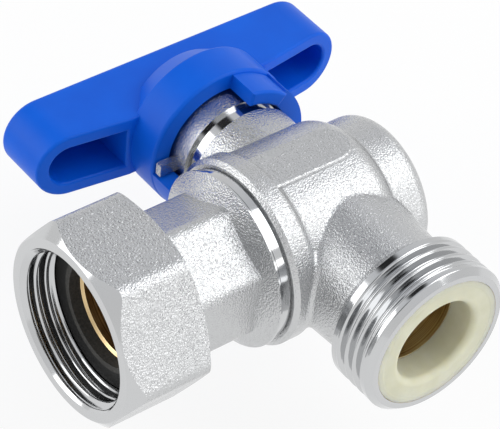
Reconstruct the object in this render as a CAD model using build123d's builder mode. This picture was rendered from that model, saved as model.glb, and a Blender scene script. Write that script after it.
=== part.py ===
from build123d import *
import os
from math import sqrt

# Angle ball valve with a captive inlet nut, millimetres.
# +X runs along the inlet into the valve, +Y along the stem to the handle, +Z is up.
# The origin is on the inlet axis, at the inner end of the nut's thread.

# Driving dimensions: layout
centre_x = 39.2          # inlet thread end to the ball's centre
blind_end = 15.1         # ball's centre to the end boss
outlet_end = 31.6        # ball's centre to the outlet mouth
handle_top = 41.2        # ball's centre to the back of the handle

# Driving dimensions: pipe threads
thread_major = 13.22     # outside radius of the male pipe thread
thread_minor = 12.06     # hole radius of the female pipe thread

# Driving dimensions: union nut
nut_wall = 1.78          # thread's outside to the middle of a flat
nut_corner = 2.6         # rounding of the hexagon's corners
nut_turn = 3.0           # degrees from the Y axis to a corner
nut_mouth = 5.6          # thread end to the front face
nut_length = 14.5
nut_face_drop = 0.2      # flat's middle to the edge of the turned front face
nut_lead_in = 1.1        # mouth chamfer
nut_back_wall = 2.9
nut_relief_depth = 0.64  # relief behind the thread
nut_back_drop = 1.0      # depth of the back chamfer at the corners

# Driving dimensions: inlet tailpiece
tail_bore = 8.0
tail_bore_chamfer = 0.4
tail_neck = 10.3
tail_hex_flats = 21.0
tail_hex_corner = 2.2
tail_hex_turn = 35.0     # degrees from the Y axis to a corner
tail_hex_gap = 0.5       # nut's back face to the hexagon
shoulder_start = 18.9    # ball's centre to the foot of the bell shoulder
shoulder_edge = 16.4     # ball's centre to the shoulder's rim
shoulder = 14.5
shoulder_land = 0.3
band = 14.1              # radius of the turned band
band_groove = 13.5       # radius of the fine groove on each side of it
band_groove_width = 0.35
spigot = 12.6

# Driving dimensions: gasket and retaining ring
gasket_hole = 8.4
gasket_thickness = 2.0
gasket_play = 0.06       # gasket's edge to the thread
gasket_gap = 0.2
ring_wire = 1.7
ring_setback = 2.7       # tailpiece end to the middle of the ring
ring_open = 30.0         # degrees left open

# Driving dimensions: valve body
body_face = 14.1         # ball's centre to the body's open end
body_rim = 15.4
body_rim_chamfer = 0.7
body_rim_end = 10.5      # ball's centre to the end of the rim zone
body_rim_fall = 1.2
rim_fillet = 1.0
barrel = 14.6
barrel_end = 4.8         # ball's centre to where the barrel rounds off
barrel_round = 4.0
boss = 12.75
boss_round = 2.4
valley_fillet = 0.9
outlet_neck_root = 12.3
outlet_neck = 11.05
outlet_neck_end = 21.0
thread_start = 22.9
outlet_chamfer = 0.9
neck_fillet = 0.8
stem_neck = 10.05
stem_neck_end = 16.6
stem_groove = 8.8
collar_start = 19.6
collar = 9.5
collar_end = 25.0
stop_reach = 12.75
stop_width = 2.2
stop_front = 21.4
stop_back = 22.6
pad_half_width = 3.8
pad_end = 6.0
pad_height = 14.95
foot_height = 15.6       # same pad on the underside, just proud of the rim
pad_fillet = 0.4

# Driving dimensions: ball, seats and stem
ball_radius = 11.0
bore = 7.0
seat_clearance = 0.1
seat_reach = 9.2         # ball's centre to a seat's back
seat_depth = 3.6
seat_hole = 7.4
fit = 0.05               # radial clearance of turned fits
chamber = 11.25
blind_recess = 11.8
blade_width = 4.0
blade_length = 8.0
blade_bottom = 8.6
slot_bottom = 8.4
stem_shoulder = 5.6
shoulder_bottom = 11.6
washer_thickness = 1.0
washer_top = 14.0
stem_radius = 4.0
o_ring_section = 1.2
o_ring_low = 16.6
o_ring_pitch = 3.2
square = 5.6
square_start = 25.2
stem_top = 33.0

# Driving dimensions: handle and its screw
wing_length = 59.6
wing_thickness = 12.0
wing_wall = 2.4
wing_tip = 31.0          # front edge of a wing at its tip
wing_root = 28.7         # front edge of a wing at the hub
roof = 2.6
wing_edge = 0.9
rim_edge = 0.5
hub = 13.25
hub_top = 30.0
hub_edge = 0.6
cone = 9.9               # radius of the cone behind the hub at its end
cone_end = 34.2
window_top = 22.9        # front of the hub, seen through the skirt's window
window_start = 83.0      # degrees from +X towards +Z
window_end = 187.0
skirt = 13.1
skirt_front = 18.3
cup_top = 25.4
skirt_hole = 10.1
lug = 12.7
lug_front = 17.4
near_lug_start = 47.0
lug_edge = 0.5
pocket_gap = 0.8         # hub to the wing pocket
recess = 4.6
recess_floor = 35.0
screw_head = 3.8
screw_head_height = 2.6
screw_shank = 1.6
screw_length = 9.0
screw_hole = 2.1
cross_width = 1.0
cross_length = 4.4
cross_depth = 1.4

# Driving dimensions: outlet insert
insert_flange = 11.3
insert_flange_depth = 1.8
insert_sleeve = 8.9
insert_bore = 7.2
insert_length = 5.4
insert_lip = 1.1

# Derived places
stem_axis = Axis((centre_x, 0, 0), (0, 1, 0))
nut_front_x = -nut_mouth
nut_back_x = nut_front_x + nut_length
nut_wall_x = nut_back_x - nut_back_wall
nut_flats = 2 * (thread_major + nut_wall)
nut_reach = nut_flats / sqrt(3)
nut_face = nut_flats / 2 - nut_face_drop
nut_relief = thread_minor + nut_relief_depth
gasket_radius = thread_minor - gasket_play
tail_end_x = gasket_gap + gasket_thickness
tail_hex_x = nut_back_x + tail_hex_gap
shoulder_x = centre_x - shoulder_edge
body_face_x = centre_x - body_face
rim_end_x = centre_x - body_rim_end
pad_length = body_rim_end + pad_end - pad_half_width
spigot_end_x = centre_x - seat_reach
ring_x = tail_end_x + ring_setback
ring_groove = tail_neck - ring_wire / 2
washer_bottom = washer_top - washer_thickness
hub_middle = (hub_top + window_top) / 2


def stem_plane(y):
    """Plane square to the stem at height y, with +X to the right and +Z up."""
    return Plane(origin=(centre_x, y, 0), x_dir=(1, 0, 0), z_dir=(0, -1, 0))


def stem_profile(points):
    """Closed half section, as (radius, height) points, to turn about the stem's axis."""
    with BuildSketch(Plane.XY) as profile:
        with BuildLine():
            Polyline([(centre_x + radius, height) for radius, height in points], close=True)
        make_face()
    return profile.sketch


def inlet_profile(points):
    """Closed half section, as (x, radius) points, to turn about the inlet axis."""
    with BuildSketch(Plane.XY) as profile:
        with BuildLine():
            Polyline(points, close=True)
        make_face()
    return profile.sketch


def skirt_sector(outer_radius, start, end):
    """Sector of the skirt's ring inside the hub, between two angles from +X towards +Z."""
    with BuildSketch(stem_plane(hub_middle)) as sector:
        with BuildLine():
            outer = CenterArc((0, 0), outer_radius, start, end - start)
            inner = CenterArc((0, 0), skirt_hole, start, end - start)
            Line(outer @ 0, inner @ 0)
            Line(outer @ 1, inner @ 1)
        make_face()
    return sector.sketch


def raised_pad(height):
    """Round-ended block with eased top edges, sunk into the barrel from the rim to the pad's end."""
    with BuildPart() as block:
        with BuildSketch(Plane.XY.offset(barrel - pad_half_width)):
            with Locations((rim_end_x, 0)):
                Rectangle(pad_length, 2 * pad_half_width, align=(Align.MIN, Align.CENTER))
            with Locations((rim_end_x + pad_length, 0)):
                Circle(pad_half_width)
        extrude(amount=height - barrel + pad_half_width)
        fillet(block.faces().sort_by(Axis.Z)[-1].edges().sort_by(Axis.X)[1:], radius=pad_fillet)
    return block.part


def wings():
    """Both wings of the handle as one hollow block, open to the front, with eased rims."""
    with BuildPart() as block:
        with BuildSketch(stem_plane(handle_top)):
            SlotOverall(wing_length, wing_thickness)
        extrude(amount=handle_top - wing_root)
        # Front edges slant back from the hub to the tips
        for side in (-1, 1):
            with BuildSketch(Plane.XY):
                with BuildLine():
                    Polyline(
                        (centre_x + side * hub, wing_root),
                        (centre_x + side * wing_length / 2, wing_root),
                        (centre_x + side * wing_length / 2, wing_tip),
                        close=True,
                    )
                make_face()
            extrude(amount=wing_thickness, both=True, mode=Mode.SUBTRACT)
        # Pockets
        with BuildSketch(stem_plane(handle_top - roof)):
            SlotOverall(wing_length - 2 * wing_wall, wing_thickness - 2 * wing_wall)
            Rectangle(2 * (hub + pocket_gap), wing_thickness, mode=Mode.SUBTRACT)
        extrude(amount=handle_top - roof - wing_root, mode=Mode.SUBTRACT)
        fillet(block.faces().sort_by(Axis.Y)[-1].edges(), radius=wing_edge)
        front_edges = block.edges().filter_by_position(Axis.Y, wing_root - rim_edge, wing_tip + rim_edge)
        creases = front_edges.filter_by(Axis.Z).sort_by(SortBy.LENGTH)[-2:]
        fillet(front_edges - creases, radius=rim_edge)
    return block.part


def save(builder, name):
    """Label a finished piece and write it out."""
    builder.part.label = name
    export_step(builder.part, f"parts/{name}.step")


os.makedirs("parts", exist_ok=True)

# Valve body: the barrel with its rim, rounded end and blind boss
with BuildPart() as valve_body:
    round_x = centre_x + barrel_end
    boss_x = round_x + sqrt(barrel_round**2 - (boss - barrel + barrel_round) ** 2)
    end_x = centre_x + blind_end
    with BuildSketch(Plane.XY):
        with BuildLine():
            Polyline(
                (body_face_x, 0),
                (body_face_x, body_rim - body_rim_chamfer),
                (body_face_x + body_rim_chamfer, body_rim),
                (rim_end_x, body_rim),
                (rim_end_x + body_rim_fall, barrel),
                (round_x, barrel),
            )
            RadiusArc((round_x, barrel), (boss_x, boss), barrel_round)
            Polyline(
                (boss_x, boss),
                (end_x, boss),
                (end_x, 0),
                (body_face_x, 0),
            )
        make_face()
    revolve(axis=Axis.X)
    barrel_rings = valve_body.edges().filter_by(GeomType.CIRCLE).sort_by(Axis.X)
    fillet(barrel_rings[-1], radius=boss_round)
    fillet(barrel_rings[-2], radius=valley_fillet)
    fillet(barrel_rings[2:4], radius=rim_fillet)
    # Outlet neck, flared up to the thread
    outlet_points = [
        (0, 0),
        (outlet_neck_root, 0),
        (outlet_neck, -outlet_neck_end),
        (thread_major, -thread_start),
        (thread_major, -(outlet_end - outlet_chamfer)),
        (thread_major - outlet_chamfer, -outlet_end),
        (0, -outlet_end),
    ]
    revolve(stem_profile(outlet_points), axis=stem_axis)
    fillet(valve_body.edges(Select.NEW).filter_by(GeomType.BSPLINE), radius=neck_fillet)
    # Stem neck, turned groove and collar
    neck_points = [
        (0, 0),
        (stem_neck, 0),
        (stem_neck, stem_neck_end),
        (stem_groove, stem_neck_end),
        (stem_groove, collar_start),
        (collar, collar_start),
        (collar, collar_end),
        (0, collar_end),
    ]
    revolve(stem_profile(neck_points), axis=stem_axis)
    # Raised flat pad on top of the barrel, and the one that the valve lies on
    add(raised_pad(pad_height))
    mirror(raised_pad(foot_height), about=Plane.XY)
    # Stop lug on the collar
    with BuildSketch(stem_plane(stop_back)):
        Rectangle(stop_reach, stop_width, align=(Align.MAX, Align.CENTER))
    extrude(amount=stop_back - stop_front)
    # Socket for the tailpiece, ball chamber and blind recess
    chamber_points = [
        (body_face_x, 0),
        (body_face_x, spigot + fit),
        (spigot_end_x, spigot + fit),
        (spigot_end_x, chamber),
        (centre_x + seat_reach, chamber),
        (centre_x + seat_reach, seat_hole),
        (centre_x + blind_recess, seat_hole),
        (centre_x + blind_recess, 0),
    ]
    revolve(inlet_profile(chamber_points), axis=Axis.X, mode=Mode.SUBTRACT)
    # Outlet way with the seat of the insert
    way_points = [
        (0, 0),
        (bore, 0),
        (bore, -(outlet_end - insert_length)),
        (insert_sleeve + fit, -(outlet_end - insert_length)),
        (insert_sleeve + fit, -(outlet_end - insert_flange_depth)),
        (insert_flange + fit, -(outlet_end - insert_flange_depth)),
        (insert_flange + fit, -outlet_end),
        (0, -outlet_end),
    ]
    revolve(stem_profile(way_points), axis=stem_axis, mode=Mode.SUBTRACT)
    # Stem hole with the pocket of the stem's shoulder
    hole_points = [
        (0, 0),
        (stem_shoulder + fit, 0),
        (stem_shoulder + fit, washer_top),
        (stem_radius + fit, washer_top),
        (stem_radius + fit, collar_end),
        (0, collar_end),
    ]
    revolve(stem_profile(hole_points), axis=stem_axis, mode=Mode.SUBTRACT)
save(valve_body, "valve_body")

# Inlet tailpiece: turned neck, hexagon, bell shoulder, turned band and spigot
with BuildPart() as inlet_tailpiece:
    with BuildSketch(Plane.YZ.offset(tail_hex_x)):
        RegularPolygon(tail_hex_flats / 2, 6, major_radius=False, rotation=tail_hex_turn)
        fillet(vertices(), radius=tail_hex_corner)
    extrude(amount=shoulder_x - tail_hex_x)
    foot_x = centre_x - shoulder_start
    land_x = shoulder_x + shoulder_land
    tail_points = [
        (tail_end_x, 0),
        (tail_end_x, tail_neck),
        (ring_x - ring_wire / 2, tail_neck),
        (ring_x - ring_wire / 2, ring_groove),
        (ring_x + ring_wire / 2, ring_groove),
        (ring_x + ring_wire / 2, tail_neck),
        (foot_x, tail_neck - tail_hex_corner),
        (shoulder_x, shoulder),
        (land_x, shoulder),
        (land_x, band_groove),
        (land_x + band_groove_width, band_groove),
        (land_x + band_groove_width, band),
        (body_face_x - band_groove_width, band),
        (body_face_x - band_groove_width, band_groove),
        (body_face_x, band_groove),
        (body_face_x, spigot),
        (spigot_end_x, spigot),
        (spigot_end_x, 0),
    ]
    revolve(inlet_profile(tail_points), axis=Axis.X)
    bore_points = [
        (tail_end_x, 0),
        (tail_end_x, tail_bore + tail_bore_chamfer),
        (tail_end_x + tail_bore_chamfer, tail_bore),
        (spigot_end_x, tail_bore),
        (spigot_end_x, 0),
    ]
    revolve(inlet_profile(bore_points), axis=Axis.X, mode=Mode.SUBTRACT)
save(inlet_tailpiece, "inlet_tailpiece")

# Union nut: hexagon with turned ends, threaded front and a back wall that rides on the tailpiece
with BuildPart() as union_nut:
    with BuildSketch(Plane.YZ.offset(nut_front_x)):
        RegularPolygon(nut_flats / 2, 6, major_radius=False, rotation=nut_turn)
        fillet(vertices(), radius=nut_corner)
    extrude(amount=nut_length)
    turned_points = [
        (nut_front_x, 0),
        (nut_front_x, nut_face),
        (nut_front_x + nut_reach - nut_face, nut_reach),
        (nut_back_x - nut_back_drop, nut_reach),
        (nut_back_x, nut_flats / 2),
        (nut_back_x, 0),
    ]
    revolve(inlet_profile(turned_points), axis=Axis.X, mode=Mode.INTERSECT)
    nut_hole_points = [
        (nut_front_x, 0),
        (nut_front_x, thread_minor + nut_lead_in),
        (nut_front_x + nut_lead_in, thread_minor),
        (0, thread_minor),
        (0, nut_relief),
        (nut_wall_x, nut_relief),
        (nut_wall_x, tail_neck + gasket_gap),
        (nut_back_x, tail_neck + gasket_gap),
        (nut_back_x, 0),
    ]
    revolve(inlet_profile(nut_hole_points), axis=Axis.X, mode=Mode.SUBTRACT)
save(union_nut, "union_nut")

# Nut retaining ring: round wire, left open to spring into the tailpiece's groove
with BuildPart() as nut_retaining_ring:
    with BuildSketch(Plane.XY):
        with Locations((ring_x, ring_groove + fit + ring_wire / 2)):
            Circle(ring_wire / 2 - fit)
    revolve(axis=Axis.X, revolution_arc=360 - ring_open)
save(nut_retaining_ring, "nut_retaining_ring")

# Inlet gasket: flat ring on the end of the tailpiece
with BuildPart() as inlet_gasket:
    with BuildSketch(Plane.YZ.offset(gasket_gap)):
        Circle(gasket_radius)
        Circle(gasket_hole, mode=Mode.SUBTRACT)
    extrude(amount=gasket_thickness)
save(inlet_gasket, "inlet_gasket")

# Ball: an L-shaped way, open to the inlet and down the stem's axis to the outlet
with BuildPart() as ball:
    with Locations((centre_x, 0, 0)):
        Sphere(ball_radius)
        Sphere(bore, mode=Mode.SUBTRACT)
    with BuildSketch(Plane.YZ.offset(centre_x)):
        Circle(bore)
    extrude(amount=-ball_radius, mode=Mode.SUBTRACT)
    with BuildSketch(stem_plane(0)):
        Circle(bore)
    extrude(amount=ball_radius, mode=Mode.SUBTRACT)
    # Slot for the stem's blade
    with BuildSketch(stem_plane(ball_radius)):
        Rectangle(2 * ball_radius, blade_width + 2 * fit)
    extrude(amount=ball_radius - slot_bottom, mode=Mode.SUBTRACT)
save(ball, "ball")

# Seats: two like rings, dished to the ball, one at the inlet and one at the blind end
seat_points = [
    (centre_x - seat_reach, seat_hole),
    (centre_x - seat_reach, chamber - fit),
    (centre_x - seat_reach + seat_depth, chamber - fit),
    (centre_x - seat_reach + seat_depth, seat_hole),
]
with BuildPart() as inlet_seat:
    revolve(inlet_profile(seat_points), axis=Axis.X)
    with Locations((centre_x, 0, 0)):
        Sphere(ball_radius + seat_clearance, mode=Mode.SUBTRACT)
save(inlet_seat, "inlet_seat")

with BuildPart() as blind_seat:
    mirror(inlet_seat.part, about=Plane.YZ.offset(centre_x))
save(blind_seat, "blind_seat")

# Stem: blade, shoulder held inside the body, two ring grooves and a square for the handle
o_ring_heights = [o_ring_low, o_ring_low + o_ring_pitch]
groove_floor = stem_radius - o_ring_section
with BuildPart() as stem:
    stem_points = [
        (0, shoulder_bottom),
        (stem_shoulder, shoulder_bottom),
        (stem_shoulder, washer_bottom - fit),
        (stem_radius, washer_bottom - fit),
        (stem_radius, square_start),
        (0, square_start),
    ]
    revolve(stem_profile(stem_points), axis=stem_axis)
    with BuildSketch(stem_plane(shoulder_bottom)):
        Rectangle(blade_length, blade_width)
    extrude(amount=shoulder_bottom - blade_bottom)
    with BuildSketch(stem_plane(stem_top)):
        Rectangle(square, square)
    extrude(amount=stem_top - square_start)
    for height in o_ring_heights:
        groove_points = [
            (groove_floor, height - o_ring_section / 2 - fit),
            (stem_radius, height - o_ring_section / 2 - fit),
            (stem_radius, height + o_ring_section / 2 + fit),
            (groove_floor, height + o_ring_section / 2 + fit),
        ]
        revolve(stem_profile(groove_points), axis=stem_axis, mode=Mode.SUBTRACT)
    with BuildSketch(stem_plane(stem_top)):
        Circle(screw_shank + fit)
    extrude(amount=screw_length, mode=Mode.SUBTRACT)
save(stem, "stem")

# Stem O-rings, one in each groove
for name, height in zip(["stem_o_ring_lower", "stem_o_ring_upper"], o_ring_heights):
    with BuildPart() as o_ring:
        with BuildSketch(Plane.XY):
            with Locations((centre_x + stem_radius - o_ring_section / 2, height)):
                Circle(o_ring_section / 2)
        revolve(axis=stem_axis)
    save(o_ring, name)

# Stem thrust washer: flat ring between the stem's shoulder and the body
with BuildPart() as stem_thrust_washer:
    with BuildSketch(stem_plane(washer_top)):
        Circle(stem_shoulder)
        Circle(stem_radius + 2 * fit, mode=Mode.SUBTRACT)
    extrude(amount=washer_thickness)
save(stem_thrust_washer, "stem_thrust_washer")

# Handle: hollow wings on a round hub, and a skirt with a window for the body's stop lug
with BuildPart() as handle:
    with BuildSketch(stem_plane(hub_top)):
        Circle(hub)
    extrude(amount=hub_top - window_top)
    fillet(handle.edges().filter_by(GeomType.CIRCLE), radius=hub_edge)
    # Cone that joins the hub to the sides of the wings
    cone_points = [
        (0, hub_top),
        (hub - hub_edge, hub_top),
        (cone, cone_end),
        (0, cone_end),
    ]
    revolve(stem_profile(cone_points), axis=stem_axis)
    # Skirt from the far side of the window round to the near lug
    extrude(skirt_sector(skirt, window_end, 360 + near_lug_start), amount=hub_middle - skirt_front)
    # Near stop lug, which stands a little proud of the skirt's front
    extrude(skirt_sector(lug, near_lug_start, window_start), amount=hub_middle - lug_front)
    fillet(handle.faces().sort_by(Axis.Y)[0].edges(), radius=lug_edge)
    # Cup that covers the body's collar
    with BuildSketch(stem_plane(cup_top)):
        Circle(skirt_hole)
    extrude(amount=cup_top - window_top, mode=Mode.SUBTRACT)
    add(wings())
    # Square socket, screw hole and screw recess
    with BuildSketch(stem_plane(stem_top)):
        Rectangle(square + 2 * fit, square + 2 * fit)
    extrude(amount=stem_top - cup_top, mode=Mode.SUBTRACT)
    with BuildSketch(stem_plane(recess_floor)):
        Circle(screw_hole)
    extrude(amount=recess_floor - stem_top, mode=Mode.SUBTRACT)
    with BuildSketch(stem_plane(handle_top)):
        Circle(recess)
    extrude(amount=handle_top - recess_floor, mode=Mode.SUBTRACT)
save(handle, "handle")

# Handle screw: round head with a cross recess
with BuildPart() as handle_screw:
    head_top = recess_floor + screw_head_height
    with BuildSketch(stem_plane(head_top)):
        Circle(screw_head)
    extrude(amount=screw_head_height)
    fillet(handle_screw.faces().sort_by(Axis.Y)[-1].edges(), radius=screw_head_height / 2)
    with BuildSketch(stem_plane(recess_floor)):
        Circle(screw_shank)
    extrude(amount=screw_length)
    with BuildSketch(stem_plane(head_top)):
        Rectangle(cross_length, cross_width)
        Rectangle(cross_width, cross_length)
    extrude(amount=cross_depth, mode=Mode.SUBTRACT)
save(handle_screw, "handle_screw")

# Outlet insert: flanged sleeve with a rounded mouth
with BuildPart() as outlet_insert:
    insert_points = [
        (insert_bore, -(outlet_end - insert_length)),
        (insert_sleeve, -(outlet_end - insert_length)),
        (insert_sleeve, -(outlet_end - insert_flange_depth)),
        (insert_flange, -(outlet_end - insert_flange_depth)),
        (insert_flange, -outlet_end),
        (insert_bore, -outlet_end),
    ]
    revolve(stem_profile(insert_points), axis=stem_axis)
    mouth = outlet_insert.faces().sort_by(Axis.Y)[0]
    fillet(mouth.edges().sort_by(SortBy.RADIUS)[0], radius=insert_lip)
save(outlet_insert, "outlet_insert")
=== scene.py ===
# %% [markdown]
# # An angle ball valve
# The solids of the valve come from its CAD model and stay where they are. This lesson gives them a camera, a
# small studio, real pipe threads and the finishes of the real valve: blasted and turned chrome plate, bare
# brass, blue nylon, cream acetal and black rubber. Everything is in metres, in the frame of the solids.

# %% Load the solids
import math

import bmesh
import bpy
import numpy as np
from mathutils import Matrix, Vector


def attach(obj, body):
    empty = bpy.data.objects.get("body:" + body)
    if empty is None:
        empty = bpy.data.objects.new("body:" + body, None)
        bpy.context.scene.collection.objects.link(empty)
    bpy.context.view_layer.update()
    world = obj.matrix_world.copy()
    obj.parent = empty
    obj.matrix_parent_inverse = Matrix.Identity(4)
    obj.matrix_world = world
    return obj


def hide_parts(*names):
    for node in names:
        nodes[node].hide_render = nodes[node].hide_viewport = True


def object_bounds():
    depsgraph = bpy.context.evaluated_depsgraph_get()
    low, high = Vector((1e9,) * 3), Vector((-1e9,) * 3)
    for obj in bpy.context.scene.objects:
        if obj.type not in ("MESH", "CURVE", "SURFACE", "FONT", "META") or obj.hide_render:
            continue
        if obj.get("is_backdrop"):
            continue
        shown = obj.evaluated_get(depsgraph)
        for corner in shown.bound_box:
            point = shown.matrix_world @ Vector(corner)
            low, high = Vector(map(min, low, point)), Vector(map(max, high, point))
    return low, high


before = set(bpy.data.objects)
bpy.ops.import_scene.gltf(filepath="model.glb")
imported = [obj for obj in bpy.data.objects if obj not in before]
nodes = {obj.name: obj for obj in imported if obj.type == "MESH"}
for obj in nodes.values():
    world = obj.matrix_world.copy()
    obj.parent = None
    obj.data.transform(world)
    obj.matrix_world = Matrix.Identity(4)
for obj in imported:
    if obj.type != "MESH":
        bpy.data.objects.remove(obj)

cad_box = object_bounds()
MM = 0.001
print("solids:", ", ".join(sorted(nodes)))

# %% [markdown]
# ## Camera
# A long lens keeps the pipe ends round and the sides nearly parallel. The camera stands in front of the
# inlet and the outlet, above the valve, so that one picture shows both ends and the handle. Its three axes
# and its place were solved from circles of known size on the valve.

# %% Camera
camera_right = Vector((0.794401, -0.602287, 0.078595))
camera_up = Vector((0.362225, 0.573635, 0.734667))
camera_back = Vector((-0.487565, -0.555151, 0.673860))
camera_place = Vector((-162.25, -215.83, 269.16)) * MM
image_width = 500
focal_px = 2564.9

camera_data = bpy.data.cameras.new("long_lens")
camera_data.sensor_fit = "HORIZONTAL"
camera_data.sensor_width = 36.0
camera_data.lens = focal_px / image_width * camera_data.sensor_width
camera_data.clip_start = 0.01
camera = bpy.data.objects.new("camera", camera_data)
turn = Matrix((camera_right, camera_up, camera_back)).transposed()
camera.matrix_world = Matrix.Translation(camera_place) @ turn.to_4x4()
bpy.context.scene.collection.objects.link(camera)
bpy.context.scene.camera = camera
print(f"lens {camera_data.lens:.1f} mm, {camera_place.length * 1000:.0f} mm from the origin")

# %% [markdown]
# ## Helpers for colour and nodes
# Colours are written as the hex values that a screen shows, and a shader works in linear light, so one
# function turns the first into the second. Another adds a shader node, sets it up and feeds its inputs. Two
# short ones start a material and give a colour ramp its two ends.


# %% Helpers for colour and nodes
def linear(hex_colour):
    """Linear RGBA of an sRGB hex colour."""
    values = [int(hex_colour[i:i + 2], 16) / 255 for i in (1, 3, 5)]
    return [v / 12.92 if v <= 0.04045 else ((v + 0.055) / 1.055) ** 2.4 for v in values] + [1.0]


def node(tree, kind, inputs=None, **settings):
    """Add a node, give it its settings, and feed its inputs with values or with other nodes' outputs."""
    made = tree.nodes.new(kind)
    for name, value in settings.items():
        setattr(made, name, value)
    for name, value in (inputs or {}).items():
        if isinstance(value, bpy.types.NodeSocket):
            tree.links.new(value, made.inputs[name])
        else:
            made.inputs[name].default_value = value
    return made


def new_finish(name):
    """A material, and its empty node tree."""
    material = bpy.data.materials.new(name)
    material.use_nodes = True
    material.node_tree.nodes.clear()
    return material, material.node_tree


def set_ends(ramp_node, *ends):
    """Give both ends of a colour ramp their place and hex colour."""
    for element, (position, colour) in zip(ramp_node.color_ramp.elements, ends):
        element.position = position
        element.color = linear(colour)


print("mid grey is", round(linear("#808080")[0], 3), "in linear light")

# %% [markdown]
# ## Floor
# Chrome has no colour of its own: it shows the room, so the room comes first. The floor is white paper. Lit
# paper alone renders as a pale grey, so most of what the camera and the mirrors see of it is plain white,
# and the rest keeps the shadow. The floor lies just under the circle that the handle's wings sweep, because
# a floor at the valve's underside would hide half of the turned handle.

# %% White floor
stem_x = 39.2 * MM       # the stem's axis, which is also the outlet's
floor_half = 4.0
white_share = 0.86
handle_points = [corner.co for corner in nodes["handle"].data.vertices]
wing_reach = max(math.hypot(point.x - stem_x, point.z) for point in handle_points)
floor_level = -wing_reach
floor_mesh = bpy.data.meshes.new("studio_floor")
corners = [(x * floor_half, y * floor_half, floor_level) for x, y in ((-1, -1), (1, -1), (1, 1), (-1, 1))]
floor_mesh.from_pydata(corners, [], [range(4)])
floor = bpy.data.objects.new("studio_floor", floor_mesh)
bpy.context.scene.collection.objects.link(floor)
floor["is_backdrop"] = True

paper, tree = new_finish("white_paper_floor")
light_path = node(tree, "ShaderNodeLightPath")
seen = 0.0
for ray in ("Is Camera Ray", "Is Glossy Ray", "Is Transmission Ray"):
    either = node(tree, "ShaderNodeMath", {0: light_path.outputs[ray], 1: seen}, operation="MAXIMUM")
    seen = either.outputs[0]
share = node(tree, "ShaderNodeMath", {0: seen, 1: white_share}, operation="MULTIPLY")
lit = node(tree, "ShaderNodeBsdfDiffuse", {"Color": linear("#fafaf9")})
white = node(tree, "ShaderNodeEmission", {"Color": linear("#ffffff"), "Strength": 1.0})
mixed = node(tree, "ShaderNodeMixShader", {0: share.outputs[0], 1: lit.outputs[0], 2: white.outputs[0]})
node(tree, "ShaderNodeOutputMaterial", {"Surface": mixed.outputs[0]})
floor_mesh.materials.append(paper)
print("floor at", round(floor_level * 1000, 2), "mm")

# %% [markdown]
# ## Room
# Plated fittings are shot in a pale room with a dimmer ceiling, because a room that is white all over would
# leave the metal flat. The walls are the world's lower part and the ceiling its upper part. Two soft dark
# gaps, one overhead and one around the camera, give the turned plate its dark bands.

# %% Room
room_strength = 0.9
dark_gaps = ((-0.08, 0.56, 0.82), (-0.49, -0.56, 0.67))
gap_edge, gap_core, gap_light = 0.95, 0.985, 0.04    # cosines from the gap's middle, and the light left there

room = bpy.data.worlds.new("white_room")
bpy.context.scene.world = room
room.use_nodes = True
tree = room.node_tree
tree.nodes.clear()
place = node(tree, "ShaderNodeTexCoord")
height = node(tree, "ShaderNodeSeparateXYZ", {0: place.outputs["Generated"]})
walls = node(tree, "ShaderNodeValToRGB", {"Fac": height.outputs["Z"]})
set_ends(walls, (0.0, "#fafafa"), (1.0, "#c8cad0"))
for position, colour in ((0.30, "#f4f4f4"), (0.62, "#f4f5f7"), (0.80, "#eceef1")):
    walls.color_ramp.elements.new(position).color = linear(colour)
shade = walls.outputs["Color"]
for middle in dark_gaps:
    near = node(tree, "ShaderNodeVectorMath", {0: place.outputs["Generated"], 1: middle},
                operation="DOT_PRODUCT")
    gap = node(tree, "ShaderNodeMapRange", {
        "Value": near.outputs["Value"], "From Min": gap_edge, "From Max": gap_core,
        "To Min": 1.0, "To Max": gap_light}, interpolation_type="SMOOTHSTEP")
    dimmed = node(tree, "ShaderNodeVectorMath", {0: shade, "Scale": gap.outputs["Result"]}, operation="SCALE")
    shade = dimmed.outputs[0]
air = node(tree, "ShaderNodeBackground", {"Color": shade, "Strength": room_strength})
node(tree, "ShaderNodeOutputWorld", {"Surface": air.outputs[0]})
bpy.context.scene.view_settings.view_transform = "Standard"
print("room with", len(walls.color_ramp.elements), "tones and", len(dark_gaps), "dark gaps")

# %% [markdown]
# ## Lamps
# Three soft panels stand around the valve: a key lamp above on the right, a weak one low in front of the
# outlet that reaches into it, and one on the left for the sides that the key lamp leaves dark.

# %% Lamps
valve_middle = Vector((30, 0, 0)) * MM


def soft_panel(name, direction, distance, size, watts):
    """A square lamp that faces the valve from a direction."""
    data = bpy.data.lights.new(name, "AREA")
    data.shape = "SQUARE"
    data.size = size
    data.energy = watts
    lamp = bpy.data.objects.new(name, data)
    away = Vector(direction).normalized()
    lamp.location = valve_middle + away * distance
    lamp.rotation_euler = away.to_track_quat("Z", "Y").to_euler()
    bpy.context.scene.collection.objects.link(lamp)
    print(f"{name}: {size} m wide, {watts} W, {distance} m away")


soft_panel("key_panel", (0.49, -0.38, 0.78), 0.7, 0.46, 1.6)
soft_panel("front_panel", (0.49, -0.86, 0.14), 0.8, 0.34, 0.6)
soft_panel("left_panel", (-0.74, 0.54, 0.34), 0.8, 0.55, 1.7)

# %% [markdown]
# ## Blasted chrome plate
# The body, the tailpiece and the flats of the nut are hot-forged brass, blasted with grit and then plated
# with nickel and chrome. Plate follows the pits, so each small face of a pit mirrors another part of the
# room and the metal sparkles. A fine noise as a bump gives the pits, and a slower one lets the gloss wander
# a little. The nut's pits are a little wider than the body's.

# %% Blasted chrome plate
plate_colour = "#cacbcc"
body_pit, body_depth = 0.27 * MM, 0.15 * MM    # wider than most real pits, so that they show
nut_pit, nut_depth = 0.33 * MM, 0.19 * MM
gloss_patch = 7 * MM


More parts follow.
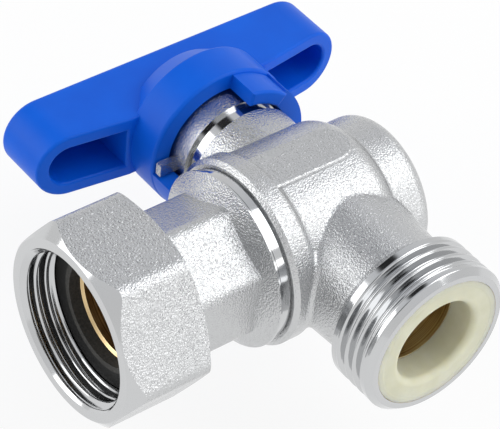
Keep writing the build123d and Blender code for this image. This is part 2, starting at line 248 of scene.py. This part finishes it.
def blasted_plate(name, pit, depth):
    """Chrome plate over grit-blasted brass, with pits of a given width and depth."""
    material, tree = new_finish(name)
    place = node(tree, "ShaderNodeTexCoord")
    pits = node(tree, "ShaderNodeTexNoise", {
        "Vector": place.outputs["Object"], "Scale": 1 / pit, "Detail": 1.5, "Roughness": 0.5})
    bump = node(tree, "ShaderNodeBump", {"Height": pits.outputs["Fac"], "Strength": 1.0, "Distance": depth})
    slow = node(tree, "ShaderNodeTexNoise", {
        "Vector": place.outputs["Object"], "Scale": 1 / gloss_patch, "Detail": 3.0})
    gloss = node(tree, "ShaderNodeMapRange", {
        "Value": slow.outputs["Fac"], "From Min": 0.3, "From Max": 0.7, "To Min": 0.20, "To Max": 0.28})
    shader = node(tree, "ShaderNodeBsdfPrincipled", {
        "Base Color": linear(plate_colour), "Metallic": 1.0, "Roughness": gloss.outputs["Result"],
        "Normal": bump.outputs["Normal"]})
    node(tree, "ShaderNodeOutputMaterial", {"Surface": shader.outputs[0]})
    return material


forged_plate = blasted_plate("blasted_chrome_plate", body_pit, body_depth)
nut_plate = blasted_plate("coarse_blasted_chrome_plate", nut_pit, nut_depth)
print("pits", round(body_pit / MM, 2), "mm wide, on the nut", round(nut_pit / MM, 2))

# %% [markdown]
# ## Turned chrome plate
# Threads, the nut's front, the band of the tailpiece and the groove under the handle are cut on a lathe
# before plating. They are nearly mirrors, with faint rings from the tool. The rings lie around the axis of
# each cut, so the pattern is read from two numbers only: how far along the axis, and how far from it. The
# same function serves bored brass, where the grooves get a darker colour: painted shade, and painted
# streaks that stand in for reflections.

# %% Turned chrome plate
tool_mark = 0.25 * MM    # a finishing cut leaves rings about 0.1 mm apart; drawn coarser so that they show
smear = 4 * MM


def turned_metal(name, axis, colour, roughness, depth, groove_shade_colour=None):
    """Lathe-turned metal with tool rings around an axis: "X" for the inlet, "Y" for the stem and outlet."""
    material, tree = new_finish(name)
    place = node(tree, "ShaderNodeTexCoord")
    centred = node(tree, "ShaderNodeVectorMath", {0: place.outputs["Object"], 1: (stem_x, 0, 0)},
                   operation="SUBTRACT")
    parts = node(tree, "ShaderNodeSeparateXYZ", {0: centred.outputs[0]})
    across = [parts.outputs[letter] for letter in "XYZ" if letter != axis]
    flat = node(tree, "ShaderNodeCombineXYZ", {0: across[0], 1: across[1]})
    radius = node(tree, "ShaderNodeVectorMath", {0: flat.outputs[0]}, operation="LENGTH")
    cut = node(tree, "ShaderNodeCombineXYZ", {0: parts.outputs[axis], 1: radius.outputs["Value"]})
    rings = node(tree, "ShaderNodeTexNoise", {
        "Vector": cut.outputs[0], "Scale": 1 / tool_mark, "Detail": 1.0}, noise_dimensions="2D")
    bump = node(tree, "ShaderNodeBump", {"Height": rings.outputs["Fac"], "Strength": 1.0, "Distance": depth})
    smears = node(tree, "ShaderNodeTexNoise", {"Vector": place.outputs["Object"], "Scale": 1 / smear})
    gloss = node(tree, "ShaderNodeMapRange", {
        "Value": smears.outputs["Fac"], "From Min": 0.3, "From Max": 0.7,
        "To Min": roughness * 0.8, "To Max": roughness * 1.3})
    tone = linear(colour)
    # painted shade and painted reflection streaks: the ring grooves take the darker colour
    if groove_shade_colour:
        ring_streaks_and_shade = node(tree, "ShaderNodeValToRGB", {"Fac": rings.outputs["Fac"]})
        set_ends(ring_streaks_and_shade, (0.35, groove_shade_colour), (0.65, colour))
        tone = ring_streaks_and_shade.outputs["Color"]
    shader = node(tree, "ShaderNodeBsdfPrincipled", {
        "Base Color": tone, "Metallic": 1.0, "Roughness": gloss.outputs["Result"],
        "Normal": bump.outputs["Normal"]})
    node(tree, "ShaderNodeOutputMaterial", {"Surface": shader.outputs[0]})
    return material


inlet_turned = turned_metal("turned_chrome_plate_inlet", "X", plate_colour, 0.10, 0.004 * MM)
outlet_turned = turned_metal("turned_chrome_plate_outlet", "Y", plate_colour, 0.10, 0.004 * MM)
print("turned plate:", inlet_turned.name, outlet_turned.name)

# %% [markdown]
# ## Bare brass
# Plate hardly reaches into a narrow bore, so the water ways keep the gold of bored brass. The inlet's copy is
# browner and darker, which is painted shade for the deep inlet bore. A boring bar leaves deeper rings than a
# finishing tool, and their grooves take a darker colour: painted shade, and painted streaks for reflections.

# %% Bare brass
bored_depth = 0.03 * MM
# the inlet's browner copy is painted shade for its deep bore; both darker groove colours are painted shade and
# painted reflection streaks
shaded_inlet_brass = turned_metal("bored_brass_inlet_painted_shade", "X", "#efd6a6", 0.36, bored_depth, "#b08e60")
outlet_brass = turned_metal("bored_brass_outlet", "Y", "#f6e6b6", 0.36, bored_depth, "#d6bb86")
print("bare brass:", shaded_inlet_brass.name, outlet_brass.name)

# %% [markdown]
# ## Which face was made how
# The forged skin, the turned cuts and the bored ways are faces of one solid, so each face gets its finish by
# where it lies. The two threaded solids are copied first, because they also lose their plain thread walls.


# %% Sort faces by their place
def face_places(mesh):
    """Centres in millimetres, and normals, of all faces of a mesh."""
    count = len(mesh.polygons)
    centres = np.zeros(count * 3)
    normals = np.zeros(count * 3)
    mesh.polygons.foreach_get("center", centres)
    mesh.polygons.foreach_get("normal", normals)
    return centres.reshape(-1, 3) / MM, normals.reshape(-1, 3)


def give_finishes(mesh, finishes, choice):
    """Put a list of finishes on a mesh, and one of them, by number, on each face."""
    mesh.materials.clear()
    for finish in finishes:
        mesh.materials.append(finish)
    mesh.polygons.foreach_set("material_index", choice.astype(np.int32))
    counts = np.bincount(choice, minlength=len(finishes))
    print(mesh.name, {finish.name: int(count) for finish, count in zip(finishes, counts)})


def copy_without(node_name, new_name, is_thread_wall):
    """Copy a solid's mesh, without the faces whose corners all lie on a thread wall."""
    mesh = nodes[node_name].data.copy()
    mesh.name = new_name
    points = np.zeros(len(mesh.vertices) * 3)
    mesh.vertices.foreach_get("co", points)
    on_wall = is_thread_wall(points.reshape(-1, 3) / MM)
    work = bmesh.new()
    work.from_mesh(mesh)
    work.verts.ensure_lookup_table()
    wall = [face for face in work.faces if all(on_wall[corner.index] for corner in face.verts)]
    bmesh.ops.delete(work, geom=wall, context="FACES_ONLY")
    work.to_mesh(mesh)
    work.free()
    shell = bpy.data.objects.new(new_name, mesh)
    bpy.context.scene.collection.objects.link(shell)
    print(new_name, "lost", len(wall), "wall faces")
    return shell


# %% [markdown]
# ## Pipe threads
# Both ends have a G 3/4 pipe thread: 26.44 mm over the crests, 14 turns to the inch, flanks at 55 degrees
# and rounded crests and roots. A thread could be a screw modifier on a tooth outline, but it has to start
# and end in the smooth wall around it. So each one is a sheet of points over the wall: at every place along
# the axis and around it, the radius follows the tooth, and it fades to the plain wall at both ends.

# %% Thread sheet
crest = 13.22
root = 12.06
pitch = 25.4 / 14
steps_per_turn = 16
spots = 180
land = 0.12              # share of a flank's run that is flat at the root, and again at the crest
softness = 0.6           # share of the tooth that is a smooth wave, beside straight flanks


def tooth(turns):
    """0 at a root and 1 at a crest, for a number of turns along the thread."""
    flank = 1 - np.abs(2 * (turns % 1.0) - 1)
    ramp = np.clip((flank - land) / (1 - 2 * land), 0, 1)
    return ramp * ramp * (3 - 2 * ramp) * softness + ramp * (1 - softness)


def thread_sheet(name, origin, along, start, end, wall_radius, inside, fade_in, fade_out, phase):
    """A right-hand pipe thread between two places along an axis, all in millimetres."""
    axis = Vector(along)
    side = Vector((0, 0, 1))
    other = axis.cross(side)
    steps = int((end - start) / pitch * steps_per_turn)
    around = np.linspace(0, 2 * np.pi, spots, endpoint=False)
    place, angle = np.meshgrid(np.linspace(start, end, steps + 1), around, indexing="ij")
    height = tooth(place / pitch - angle / (2 * np.pi) + phase)
    fade = np.interp(place, [*fade_in, *fade_out], [0, 1, 1, 0])
    wall = wall_radius(place)
    if inside:
        radius = np.maximum(wall, wall + fade * (crest - (crest - root) * height - wall))
    else:
        radius = np.minimum(wall, wall + fade * (root + (crest - root) * height - wall))
    points = np.array(origin) + place[..., None] * np.array(axis)
    points = points + (radius * np.cos(angle))[..., None] * np.array(side)
    points = points + (radius * np.sin(angle))[..., None] * np.array(other)
    faces = []
    for i in range(steps):
        for j in range(spots):
            a, b = i * spots + j, i * spots + (j + 1) % spots
            quad = (a, b, b + spots, a + spots)
            faces.append(quad[::-1] if inside else quad)
    mesh = bpy.data.meshes.new(name)
    mesh.from_pydata((points.reshape(-1, 3) * MM).tolist(), [], faces)
    mesh.polygons.foreach_set("use_smooth", [True] * len(faces))
    sheet = bpy.data.objects.new(name, mesh)
    bpy.context.scene.collection.objects.link(sheet)
    middle = mesh.polygons[len(faces) // 2]
    outward = (middle.center / MM - Vector(origin)).cross(axis).length
    print(f"{name}: {(end - start) / pitch:.1f} turns, {len(faces)} faces, middle face at {outward:.2f} mm")
    return sheet


# %% [markdown]
# ## The nut
# The flats keep the blasted skin. The front face and the bevel that cuts the corners back were turned, and
# so was everything inside. The thread is deepest in the middle and runs out towards the gasket.

# %% Union nut
nut_front, lead_in_end, thread_end = -5.6, -4.5, 0.0
nut_hole = 13.2          # all that lies nearer to the axis is inside
slack = 0.01             # how far off a thread wall's ends a point of it may lie
wall_slack = 0.03        # and how far off the wall


def nut_wall(x):
    """Radius of the nut's plain hole: the lead-in bevel, then the thread's crests."""
    return root + np.clip(lead_in_end - x, 0, None)


def on_nut_wall(points):
    """True for points on the nut's plain thread wall."""
    x, radius = points[:, 0], np.hypot(points[:, 1], points[:, 2])
    between = (x > nut_front - slack) & (x < thread_end + slack)
    return between & (np.abs(radius - nut_wall(x)) < wall_slack)


nut = copy_without("union_nut", "nut_shell", on_nut_wall)
centres, normals = face_places(nut.data)
radius = np.hypot(centres[:, 1], centres[:, 2])
turned = (np.abs(normals[:, 0]) > 0.2) | (radius < nut_hole)
give_finishes(nut.data, [nut_plate, inlet_turned], turned.astype(int))
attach(nut, "nut")
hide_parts("union_nut")

nut_thread = thread_sheet("nut_thread", (0, 0, 0), (1, 0, 0), nut_front, thread_end, nut_wall,
                          inside=True, fade_in=(-5.6, -5.2), fade_out=(-1.2, 0.0), phase=0.0)
nut_thread.data.materials.append(inlet_turned)
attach(nut_thread, "nut")

# %% [markdown]
# ## The body
# The outlet's thread starts past a flare and stops short of the end, where a plain land and a bevel help a
# nut to start. The flare, the end face and the groove under the handle are turned, the ways inside are bare
# brass and all the rest is blasted.

# %% Valve body
flare_start, outlet_start, bevel_start, outlet_end = 21.0, 22.9, 30.7, 31.6
groove_start, groove_end = 16.6, 19.6
flare_root, groove_root = 11.0, 8.0    # what is turned lies outside these radii
way_radius, way_start = 11.4, 7.0      # the outlet's way, and where it leaves the ball's chamber
socket_radius = 12.7                   # the tailpiece's socket, the widest bore at the inlet
edge_slack, groove_slack = 0.05, 0.02  # how far off its stated ends a face of a cut may lie
stem_mm = stem_x / MM


def outlet_wall(place):
    """Radius of the outlet's plain wall, by its distance from the ball's centre."""
    return crest - np.clip(place - bevel_start, 0, None)


def on_outlet_wall(points):
    """True for points on the outlet's plain thread wall."""
    place, radius = -points[:, 1], np.hypot(points[:, 0] - stem_mm, points[:, 2])
    between = (place > outlet_start - slack) & (place < outlet_end + slack)
    return between & (np.abs(radius - outlet_wall(place)) < wall_slack)


body = copy_without("valve_body", "body_shell", on_outlet_wall)
centres, normals = face_places(body.data)
from_stem = centres - (stem_mm, 0, 0)
stem_radius = np.hypot(from_stem[:, 0], from_stem[:, 2])
inlet_radius = np.hypot(centres[:, 1], centres[:, 2])
y = centres[:, 1]
end_face = y < -outlet_end + edge_slack
flare = (y < -flare_start + edge_slack) & (y > -outlet_start - edge_slack) & (stem_radius > flare_root)
groove = (y > groove_start - groove_slack) & (y < groove_end + groove_slack) & (stem_radius > groove_root)
inward_stem = normals[:, 0] * from_stem[:, 0] + normals[:, 2] * from_stem[:, 2] < -0.1
inward_inlet = normals[:, 1] * centres[:, 1] + normals[:, 2] * centres[:, 2] < -0.1
step = np.abs(normals[:, 1]) > 0.9
way_out = ~end_face & (stem_radius < way_radius) & (y < -way_start) & (inward_stem | step)
way_in = (inlet_radius < socket_radius) & inward_inlet
choice = np.zeros(len(y), int)
choice[end_face | flare | groove] = 1
choice[way_out] = 2
# the inlet way takes the darker brass copy, which is painted shade for a deep bore
choice[way_in & ~way_out] = 3
give_finishes(body.data, [forged_plate, outlet_turned, outlet_brass, shaded_inlet_brass], choice)
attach(body, "valve")
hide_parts("valve_body")

outlet_thread = thread_sheet("outlet_thread", (stem_mm, 0, 0), (0, -1, 0), outlet_start, outlet_end, outlet_wall,
                             inside=False, fade_in=(23.8, 24.6), fade_out=(29.4, 29.9), phase=0.43)
outlet_thread.data.materials.append(outlet_turned)
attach(outlet_thread, "valve")

# %% [markdown]
# ## The tailpiece
# Its hexagon and bell are forged and blasted. The band against the body and the neck inside the nut are
# turned, and the bore with its bevel is bare brass.

# %% Inlet tailpiece
neck_end, band_start = 9.35, 22.75
tail_bore = 8.1
bevel_end, bevel_radius = 4.0, 9.0

tail = nodes["inlet_tailpiece"].data
centres, normals = face_places(tail)
x, radius = centres[:, 0], np.hypot(centres[:, 1], centres[:, 2])
inward = normals[:, 1] * centres[:, 1] + normals[:, 2] * centres[:, 2] < -0.1
choice = np.zeros(len(radius), int)
choice[(x < neck_end) | (x > band_start)] = 1
# the bore and bevel take the darker brass copy, which is painted shade for a deep bore
choice[(inward & (radius < tail_bore)) | ((x < bevel_end) & (radius < bevel_radius))] = 2
give_finishes(tail, [forged_plate, inlet_turned, shaded_inlet_brass], choice)

# %% [markdown]
# ## Blue nylon
# The handle is one moulding of blue nylon. It came off a smooth mould, so it has a soft gloss with a very
# slight orange peel, and no grain. Its gloss is weak on the real one, so the specular level is set low.

# %% Blue nylon handle
peel_size, cloud_size = 0.9 * MM, 9 * MM
nylon, tree = new_finish("blue_moulded_nylon")
place = node(tree, "ShaderNodeTexCoord")
peel = node(tree, "ShaderNodeTexNoise", {
    "Vector": place.outputs["Object"], "Scale": 1 / peel_size, "Detail": 2.0})
bump = node(tree, "ShaderNodeBump", {"Height": peel.outputs["Fac"], "Strength": 1.0, "Distance": 0.006 * MM})
clouds = node(tree, "ShaderNodeTexNoise", {
    "Vector": place.outputs["Object"], "Scale": 1 / cloud_size, "Detail": 3.0})
blue = node(tree, "ShaderNodeValToRGB", {"Fac": clouds.outputs["Fac"]})
set_ends(blue, (0.3, "#0459d2"), (0.7, "#0661dc"))
gloss = node(tree, "ShaderNodeMapRange", {
    "Value": clouds.outputs["Fac"], "From Min": 0.3, "From Max": 0.7, "To Min": 0.36, "To Max": 0.44})
shader = node(tree, "ShaderNodeBsdfPrincipled", {
    "Base Color": blue.outputs["Color"], "Roughness": gloss.outputs["Result"], "IOR": 1.53,
    "Specular IOR Level": 0.15, "Normal": bump.outputs["Normal"]})
node(tree, "ShaderNodeOutputMaterial", {"Surface": shader.outputs[0]})
print(nylon.name, "with", len(tree.nodes), "nodes")

# %% [markdown]
# ## Cream acetal
# The insert in the outlet is moulded in undyed acetal: creamy, dense and a little waxy, so light sinks into
# it a little way. Its face has a faint step near the rim, from the edge of the mould.

# %% Cream acetal insert
flow_size = 3 * MM
lip_start, lip_end, lip_rise = 10.2 * MM, 10.5 * MM, 6.0
acetal, tree = new_finish("cream_moulded_acetal")
place = node(tree, "ShaderNodeTexCoord")
flow = node(tree, "ShaderNodeTexNoise", {
    "Vector": place.outputs["Object"], "Scale": 1 / flow_size, "Detail": 3.0})
cream = node(tree, "ShaderNodeValToRGB", {"Fac": flow.outputs["Fac"]})
set_ends(cream, (0.3, "#d0cfb6"), (0.7, "#d9d8c2"))
centred = node(tree, "ShaderNodeVectorMath", {0: place.outputs["Object"], 1: (stem_x, 0, 0)},
               operation="SUBTRACT")
across = node(tree, "ShaderNodeVectorMath", {0: centred.outputs[0], 1: (1, 0, 1)}, operation="MULTIPLY")
radius = node(tree, "ShaderNodeVectorMath", {0: across.outputs[0]}, operation="LENGTH")
lip = node(tree, "ShaderNodeMapRange", {
    "Value": radius.outputs["Value"], "From Min": lip_start, "From Max": lip_end,
    "To Min": 0.0, "To Max": lip_rise})
height = node(tree, "ShaderNodeMath", {0: flow.outputs["Fac"], 1: lip.outputs["Result"]}, operation="ADD")
bump = node(tree, "ShaderNodeBump", {"Height": height.outputs[0], "Strength": 1.0, "Distance": 0.01 * MM})
shader = node(tree, "ShaderNodeBsdfPrincipled", {
    "Base Color": cream.outputs["Color"], "Roughness": 0.42, "IOR": 1.48, "Subsurface Weight": 0.8,
    "Subsurface Radius": (1.0, 0.9, 0.6), "Subsurface Scale": 2.5 * MM, "Normal": bump.outputs["Normal"]})
node(tree, "ShaderNodeOutputMaterial", {"Surface": shader.outputs[0]})
print(acetal.name, "with", len(tree.nodes), "nodes")

# %% [markdown]
# ## Black rubber
# Gasket and O-rings are black rubber. The gasket is cut from sheet, and near its hole its face is scuffed
# grey and rough.

# %% Black rubber
rubber_grain = 0.35 * MM
scuff_edge, scuff_full = 9.5 * MM, 9.3 * MM
rubber, tree = new_finish("black_sheet_rubber")
place = node(tree, "ShaderNodeTexCoord")
grain = node(tree, "ShaderNodeTexNoise", {
    "Vector": place.outputs["Object"], "Scale": 1 / rubber_grain, "Detail": 3.0})
parts = node(tree, "ShaderNodeSeparateXYZ", {0: place.outputs["Object"]})
flat = node(tree, "ShaderNodeCombineXYZ", {0: parts.outputs["Y"], 1: parts.outputs["Z"]})
radius = node(tree, "ShaderNodeVectorMath", {0: flat.outputs[0]}, operation="LENGTH")
scuffed = node(tree, "ShaderNodeMapRange", {
    "Value": radius.outputs["Value"], "From Min": scuff_edge, "From Max": scuff_full,
    "To Min": 0.0, "To Max": 1.0})
scuff = node(tree, "ShaderNodeMath", {0: scuffed.outputs["Result"], 1: grain.outputs["Fac"]},
             operation="MULTIPLY")
black = node(tree, "ShaderNodeValToRGB", {"Fac": scuff.outputs[0]})
set_ends(black, (0.0, "#0d0d0d"), (0.7, "#4c4b48"))
bump = node(tree, "ShaderNodeBump", {"Height": grain.outputs["Fac"], "Strength": 1.0, "Distance": 0.04 * MM})
shader = node(tree, "ShaderNodeBsdfPrincipled", {
    "Base Color": black.outputs["Color"], "Roughness": 0.6, "IOR": 1.52, "Normal": bump.outputs["Normal"]})
node(tree, "ShaderNodeOutputMaterial", {"Surface": shader.outputs[0]})
print(rubber.name, "with", len(tree.nodes), "nodes")

# %% [markdown]
# ## Seal plastic and small steel
# The ball's seats and the thrust washer are turned from white PTFE, which looks waxy. The handle's screw is
# zinc-plated steel, pale with a cloudy bloom, and the nut's ring is drawn spring wire, darker and smoother.

# %% Seal plastic and steel
wax_size, bloom_size = 2 * MM, 0.8 * MM
seal, tree = new_finish("white_turned_ptfe")
place = node(tree, "ShaderNodeTexCoord")
wax = node(tree, "ShaderNodeTexNoise", {
    "Vector": place.outputs["Object"], "Scale": 1 / wax_size, "Detail": 2.0})
milk = node(tree, "ShaderNodeValToRGB", {"Fac": wax.outputs["Fac"]})
set_ends(milk, (0.0, "#e6e6e2"), (1.0, "#f4f4f1"))
shader = node(tree, "ShaderNodeBsdfPrincipled", {
    "Base Color": milk.outputs["Color"], "Roughness": 0.5, "IOR": 1.35})
node(tree, "ShaderNodeOutputMaterial", {"Surface": shader.outputs[0]})


def clouded_steel(name, dark, pale, roughness):
    """Small steel ware with a cloudy skin between two tones."""
    material, tree = new_finish(name)
    place = node(tree, "ShaderNodeTexCoord")
    bloom = node(tree, "ShaderNodeTexNoise", {
        "Vector": place.outputs["Object"], "Scale": 1 / bloom_size, "Detail": 3.0})
    tone = node(tree, "ShaderNodeValToRGB", {"Fac": bloom.outputs["Fac"]})
    set_ends(tone, (0.0, dark), (1.0, pale))
    dull = node(tree, "ShaderNodeMapRange", {
        "Value": bloom.outputs["Fac"], "To Min": roughness * 0.7, "To Max": roughness * 1.3})
    shader = node(tree, "ShaderNodeBsdfPrincipled", {
        "Base Color": tone.outputs["Color"], "Metallic": 1.0, "Roughness": dull.outputs["Result"]})
    node(tree, "ShaderNodeOutputMaterial", {"Surface": shader.outputs[0]})
    return material


zinc_steel = clouded_steel("zinc_plated_steel", "#b4b8bc", "#d6d8da", 0.30)
spring_steel = clouded_steel("drawn_spring_steel", "#94969a", "#b2b4b6", 0.24)
print("seal and steel:", seal.name, zinc_steel.name, spring_steel.name)

# %% [markdown]
# ## Finishes on the other solids
# These solids have the right shape already, so they only take their finish. The ball is turned like the
# threads and then polished.

# %% Finishes on the other solids
ball_plate = turned_metal("polished_chrome_ball", "Y", "#d8d8d6", 0.08, 0.001 * MM)
single_finishes = {
    "handle": nylon,
    "outlet_insert": acetal,
    "inlet_gasket": rubber,
    "stem_o_ring_lower": rubber,
    "stem_o_ring_upper": rubber,
    "inlet_seat": seal,
    "blind_seat": seal,
    "stem_thrust_washer": seal,
    "handle_screw": zinc_steel,
    "nut_retaining_ring": spring_steel,
    "stem": outlet_brass,
    "ball": ball_plate,
}
for name, finish in single_finishes.items():
    mesh = nodes[name].data
    give_finishes(mesh, [finish], np.zeros(len(mesh.polygons), int))

# %% [markdown]
# ## Sizes and the last step
# The dressed valve must be as big as its solids, so both boxes are printed side by side.

# %% Boxes and finish
dressed_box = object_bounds()
boxes = {"cad_box": [list(corner) for corner in cad_box], "visual_box": [list(corner) for corner in dressed_box]}
for name, box in boxes.items():
    print(name, [round((high - low) * 1000, 2) for low, high in zip(*box)])
